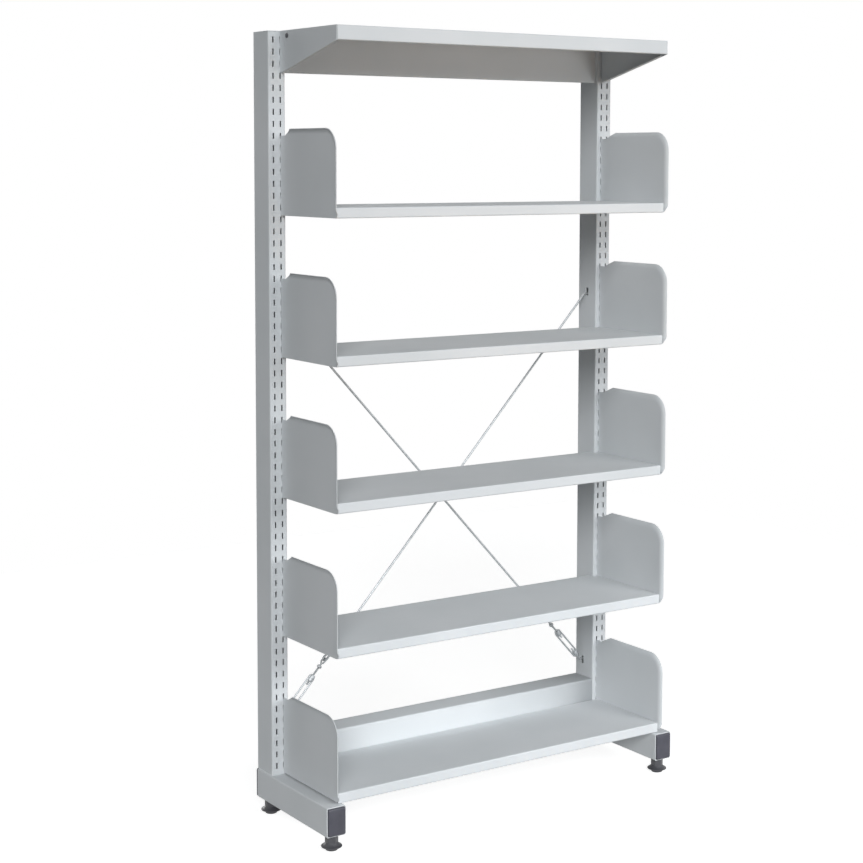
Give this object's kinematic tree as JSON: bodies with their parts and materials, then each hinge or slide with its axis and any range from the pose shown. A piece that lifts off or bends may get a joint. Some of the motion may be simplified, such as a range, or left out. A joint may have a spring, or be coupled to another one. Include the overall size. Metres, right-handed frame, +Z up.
{
  "type": "library rack",
  "caption": "Single-sided steel library rack: slotted uprights on levelled foot beams, folded shelves between hooked side plates, canopy, rear rail and turnbuckle cross brace.",
  "frame": {"origin": "on the floor, under the middle of the rack's overall box", "axes": "+Z up, +Y from the open front to the rear, +X to the right as seen from the front"},
  "size_m": [1.104, 0.372, 2.022],
  "materials": {
    "powder_coat": "light grey powder coat, semi-gloss",
    "cap_plastic": "moulded, satin",
    "foot_plastic": "moulded, matte",
    "zinc_steel": "zinc plated"
  },
  "bodies": {
    "frame": {"left_upright": "powder_coat", "left_upright_cap": "powder_coat", "left_foot_beam": "powder_coat", "left_canopy_bracket": "powder_coat", "left_canopy_bolt": "zinc_steel", "left_front_foot_cap": "cap_plastic", "left_front_leveller_nut": "zinc_steel", "left_rear_foot_cap": "cap_plastic", "left_rear_leveller_nut": "zinc_steel", "right_upright": "powder_coat", "right_upright_cap": "powder_coat", "right_foot_beam": "powder_coat", "right_canopy_bracket": "powder_coat", "right_canopy_bolt": "zinc_steel", "right_front_foot_cap": "cap_plastic", "right_front_leveller_nut": "zinc_steel", "right_rear_foot_cap": "cap_plastic", "right_rear_leveller_nut": "zinc_steel", "bottom_rail": "powder_coat", "canopy_top": "powder_coat", "canopy_back_panel": "powder_coat", "brace_a_rod": "zinc_steel", "brace_a_eye_bolt": "zinc_steel", "brace_a_hook_bolt": "zinc_steel", "brace_b_rod": "zinc_steel", "brace_b_eye_bolt": "zinc_steel", "brace_b_hook_bolt": "zinc_steel"},
    "left_front_leveller_base": {"left_front_leveller_base": "foot_plastic"},
    "left_front_leveller_foot": {"left_front_leveller_foot": "foot_plastic", "left_front_leveller_stud": "zinc_steel"},
    "left_rear_leveller_base": {"left_rear_leveller_base": "foot_plastic"},
    "left_rear_leveller_foot": {"left_rear_leveller_foot": "foot_plastic", "left_rear_leveller_stud": "zinc_steel"},
    "right_front_leveller_base": {"right_front_leveller_base": "foot_plastic"},
    "right_front_leveller_foot": {"right_front_leveller_foot": "foot_plastic", "right_front_leveller_stud": "zinc_steel"},
    "right_rear_leveller_base": {"right_rear_leveller_base": "foot_plastic"},
    "right_rear_leveller_foot": {"right_rear_leveller_foot": "foot_plastic", "right_rear_leveller_stud": "zinc_steel"},
    "base_shelf_left_plate": {"base_shelf_left_plate": "powder_coat"},
    "base_shelf_right_plate": {"base_shelf_right_plate": "powder_coat"},
    "base_shelf": {"base_shelf": "powder_coat"},
    "shelf_4_left_plate": {"shelf_4_left_plate": "powder_coat"},
    "shelf_4_right_plate": {"shelf_4_right_plate": "powder_coat"},
    "shelf_4": {"shelf_4": "powder_coat"},
    "shelf_3_left_plate": {"shelf_3_left_plate": "powder_coat"},
    "shelf_3_right_plate": {"shelf_3_right_plate": "powder_coat"},
    "shelf_3": {"shelf_3": "powder_coat"},
    "shelf_2_left_plate": {"shelf_2_left_plate": "powder_coat"},
    "shelf_2_right_plate": {"shelf_2_right_plate": "powder_coat"},
    "shelf_2": {"shelf_2": "powder_coat"},
    "shelf_1_left_plate": {"shelf_1_left_plate": "powder_coat"},
    "shelf_1_right_plate": {"shelf_1_right_plate": "powder_coat"},
    "shelf_1": {"shelf_1": "powder_coat"},
    "brace_a_turnbuckle": {"brace_a_turnbuckle": "zinc_steel"},
    "brace_b_turnbuckle": {"brace_b_turnbuckle": "zinc_steel"}
  },
  "joints": [
    {"name": "left_front_leveller_extend", "type": "slide", "parent": "frame", "child": "left_front_leveller_base", "axis": [0, 0, -1], "range_m": [0, 0.015]},
    {"name": "left_front_leveller_turn", "type": "hinge", "parent": "left_front_leveller_base", "child": "left_front_leveller_foot", "pos_m": [-0.525, -0.156, 0], "axis": [0, 0, -1], "range_deg": [0, 3086]},
    {"name": "left_rear_leveller_extend", "type": "slide", "parent": "frame", "child": "left_rear_leveller_base", "axis": [0, 0, -1], "range_m": [0, 0.015]},
    {"name": "left_rear_leveller_turn", "type": "hinge", "parent": "left_rear_leveller_base", "child": "left_rear_leveller_foot", "pos_m": [-0.525, 0.156, 0], "axis": [0, 0, -1], "range_deg": [0, 3086]},
    {"name": "right_front_leveller_extend", "type": "slide", "parent": "frame", "child": "right_front_leveller_base", "axis": [0, 0, -1], "range_m": [0, 0.015]},
    {"name": "right_front_leveller_turn", "type": "hinge", "parent": "right_front_leveller_base", "child": "right_front_leveller_foot", "pos_m": [0.525, -0.156, 0], "axis": [0, 0, -1], "range_deg": [0, 3086]},
    {"name": "right_rear_leveller_extend", "type": "slide", "parent": "frame", "child": "right_rear_leveller_base", "axis": [0, 0, -1], "range_m": [0, 0.015]},
    {"name": "right_rear_leveller_turn", "type": "hinge", "parent": "right_rear_leveller_base", "child": "right_rear_leveller_foot", "pos_m": [0.525, 0.156, 0], "axis": [0, 0, -1], "range_deg": [0, 3086]},
    {"name": "base_shelf_left_plate_unhook", "type": "slide", "parent": "frame", "child": "base_shelf_left_plate", "axis": [0, 0, 1], "range_m": [0, 0.0062]},
    {"name": "base_shelf_right_plate_unhook", "type": "slide", "parent": "frame", "child": "base_shelf_right_plate", "axis": [0, 0, 1], "range_m": [0, 0.0062]},
    {"name": "base_shelf_lift", "type": "slide", "parent": "base_shelf_left_plate", "child": "base_shelf", "axis": [0, 0, 1], "range_m": [0, 0.22]},
    {"name": "shelf_4_left_plate_unhook", "type": "slide", "parent": "frame", "child": "shelf_4_left_plate", "axis": [0, 0, 1], "range_m": [0, 0.0062]},
    {"name": "shelf_4_right_plate_unhook", "type": "slide", "parent": "frame", "child": "shelf_4_right_plate", "axis": [0, 0, 1], "range_m": [0, 0.0062]},
    {"name": "shelf_4_lift", "type": "slide", "parent": "shelf_4_left_plate", "child": "shelf_4", "axis": [0, 0, 1], "range_m": [0, 0.22]},
    {"name": "shelf_3_left_plate_unhook", "type": "slide", "parent": "frame", "child": "shelf_3_left_plate", "axis": [0, 0, 1], "range_m": [0, 0.0062]},
    {"name": "shelf_3_right_plate_unhook", "type": "slide", "parent": "frame", "child": "shelf_3_right_plate", "axis": [0, 0, 1], "range_m": [0, 0.0062]},
    {"name": "shelf_3_lift", "type": "slide", "parent": "shelf_3_left_plate", "child": "shelf_3", "axis": [0, 0, 1], "range_m": [0, 0.22]},
    {"name": "shelf_2_left_plate_unhook", "type": "slide", "parent": "frame", "child": "shelf_2_left_plate", "axis": [0, 0, 1], "range_m": [0, 0.0062]},
    {"name": "shelf_2_right_plate_unhook", "type": "slide", "parent": "frame", "child": "shelf_2_right_plate", "axis": [0, 0, 1], "range_m": [0, 0.0062]},
    {"name": "shelf_2_lift", "type": "slide", "parent": "shelf_2_left_plate", "child": "shelf_2", "axis": [0, 0, 1], "range_m": [0, 0.22]},
    {"name": "shelf_1_left_plate_unhook", "type": "slide", "parent": "frame", "child": "shelf_1_left_plate", "axis": [0, 0, 1], "range_m": [0, 0.0062]},
    {"name": "shelf_1_right_plate_unhook", "type": "slide", "parent": "frame", "child": "shelf_1_right_plate", "axis": [0, 0, 1], "range_m": [0, 0.0062]},
    {"name": "shelf_1_lift", "type": "slide", "parent": "shelf_1_left_plate", "child": "shelf_1", "axis": [0, 0, 1], "range_m": [0, 0.22]},
    {"name": "brace_a_turnbuckle_turn", "type": "hinge", "parent": "frame", "child": "brace_a_turnbuckle", "pos_m": [-0.44223, 0.145, 0.30767], "axis": [0.6773, 0, 0.7357], "continuous": true},
    {"name": "brace_b_turnbuckle_turn", "type": "hinge", "parent": "frame", "child": "brace_b_turnbuckle", "pos_m": [0.44223, 0.153, 0.30767], "axis": [-0.6773, 0, 0.7357], "continuous": true}
  ],
  "couplings": [
    {"joint": "left_front_leveller_turn", "follows": "left_front_leveller_extend", "rad_per_m": 3590.4},
    {"joint": "left_rear_leveller_turn", "follows": "left_rear_leveller_extend", "rad_per_m": 3590.4},
    {"joint": "right_front_leveller_turn", "follows": "right_front_leveller_extend", "rad_per_m": 3590.4},
    {"joint": "right_rear_leveller_turn", "follows": "right_rear_leveller_extend", "rad_per_m": 3590.4},
    {"joint": "base_shelf_right_plate_unhook", "follows": "base_shelf_left_plate_unhook", "ratio": 1},
    {"joint": "shelf_4_right_plate_unhook", "follows": "shelf_4_left_plate_unhook", "ratio": 1},
    {"joint": "shelf_3_right_plate_unhook", "follows": "shelf_3_left_plate_unhook", "ratio": 1},
    {"joint": "shelf_2_right_plate_unhook", "follows": "shelf_2_left_plate_unhook", "ratio": 1},
    {"joint": "shelf_1_right_plate_unhook", "follows": "shelf_1_left_plate_unhook", "ratio": 1}
  ]
}
